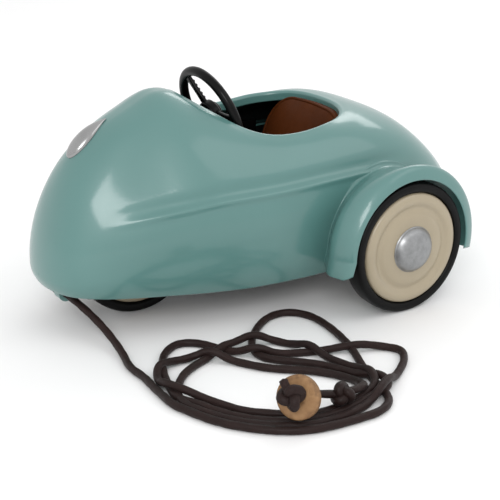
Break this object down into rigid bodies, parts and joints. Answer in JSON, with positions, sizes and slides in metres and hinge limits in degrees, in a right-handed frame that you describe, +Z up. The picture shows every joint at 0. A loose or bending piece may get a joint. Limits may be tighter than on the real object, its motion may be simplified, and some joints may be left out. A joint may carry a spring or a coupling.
{
  "type": "pull-back toy car",
  "caption": "Teardrop tin toy car with open cockpit, central front wheel, guarded rear wheels on a wind-up axle, turning steering wheel and a tow cord with wooden toggle.",
  "frame": {"origin": "on the floor under the middle of the car's length, on its centre plane", "axes": "+X forward to the nose, +Y to the car's left, +Z up; wheels rest on z = 0"},
  "size_m": [0.1574, 0.1663, 0.0796],
  "materials": {
    "enamel": "gloss stove enamel, duck-egg teal",
    "enamel_cream": "satin enamel, cream",
    "tyre": "smooth black rubber",
    "silver": "satin polished silver",
    "chrome": "bright nickel",
    "steel": "zinc plated steel",
    "black_metal": "semi-gloss black",
    "black_enamel": "semi-gloss black paint",
    "nylon": "natural nylon",
    "case_plastic": "moulded black plastic",
    "leather": "grained brown leatherette",
    "cord": "waxed braided cotton cord, dark brown",
    "wood": "plain turned wood, burnt edge"
  },
  "bodies": {
    "chassis": {"body_shell": "enamel", "mudguard_left": "enamel", "mudguard_right": "enamel", "tow_lug": "enamel", "seat_frame": "enamel", "nose_lamp": "chrome", "cockpit_tray": "black_enamel", "dash_panel": "black_enamel", "base_plate": "black_enamel", "front_axle": "steel", "front_washer_left": "steel", "front_washer_right": "steel", "front_axle_bracket_left": "steel", "front_axle_bracket_right": "steel", "rear_axle_bracket_left": "steel", "rear_axle_bracket_right": "steel", "front_bracket_rivets": "steel", "rear_bracket_rivets": "steel", "base_screws": "steel", "drive_screws": "steel", "shell_tabs": "steel", "lay_shaft": "steel", "spring_arbor": "steel", "mainspring": "steel", "column_bush": "nylon", "axle_bush_left": "nylon", "axle_bush_right": "nylon", "drive_case_left": "case_plastic", "drive_case_right": "case_plastic", "seat_cushion": "leather", "seat_backrest": "leather", "pull_cord_lead": "cord", "pull_cord_coil": "cord", "toggle_knot": "cord", "stop_knot": "cord", "lug_knot": "cord", "toggle_disc": "wood"},
    "rear_wheels": {"rear_axle": "steel", "rear_tyre_left": "tyre", "rear_tyre_right": "tyre", "rear_wheel_outer_disc_left": "enamel_cream", "rear_wheel_outer_disc_right": "enamel_cream", "rear_wheel_inner_disc_left": "enamel_cream", "rear_wheel_inner_disc_right": "enamel_cream", "rear_hub_left": "steel", "rear_hub_right": "steel", "hubcap_left": "silver", "hubcap_right": "silver", "axle_spacer_left": "steel", "axle_spacer_right": "steel", "axle_pinion": "nylon"},
    "front_wheel": {"front_tyre": "tyre", "front_wheel_disc_left": "enamel_cream", "front_wheel_disc_right": "enamel_cream", "front_hub": "steel"},
    "steering": {"steering_wheel": "black_metal", "steering_column": "steel", "column_clip": "steel"},
    "lay_gear": {"lay_gear": "nylon"},
    "spring_barrel": {"spring_barrel": "nylon"}
  },
  "joints": [
    {"name": "rear_axle_spin", "type": "hinge", "parent": "chassis", "child": "rear_wheels", "pos_m": [-0.03115, 0, 0.0225], "axis": [0, 1, 0], "continuous": true},
    {"name": "front_wheel_spin", "type": "hinge", "parent": "chassis", "child": "front_wheel", "pos_m": [0.04365, 0, 0.0225], "axis": [0, 1, 0], "continuous": true},
    {"name": "steering_turn", "type": "hinge", "parent": "chassis", "child": "steering", "pos_m": [0.01265, 0, 0.0633], "axis": [-0.9397, 0, 0.342], "continuous": true},
    {"name": "lay_gear_spin", "type": "hinge", "parent": "chassis", "child": "lay_gear", "pos_m": [-0.04305, 0, 0.0282], "axis": [0, 1, 0], "continuous": true},
    {"name": "barrel_spin", "type": "hinge", "parent": "chassis", "child": "spring_barrel", "pos_m": [-0.04785, 0, 0.04114], "axis": [0, 1, 0], "continuous": true}
  ],
  "couplings": [
    {"joint": "lay_gear_spin", "follows": "rear_axle_spin", "ratio": -0.46667},
    {"joint": "barrel_spin", "follows": "rear_axle_spin", "ratio": 0.16471}
  ]
}
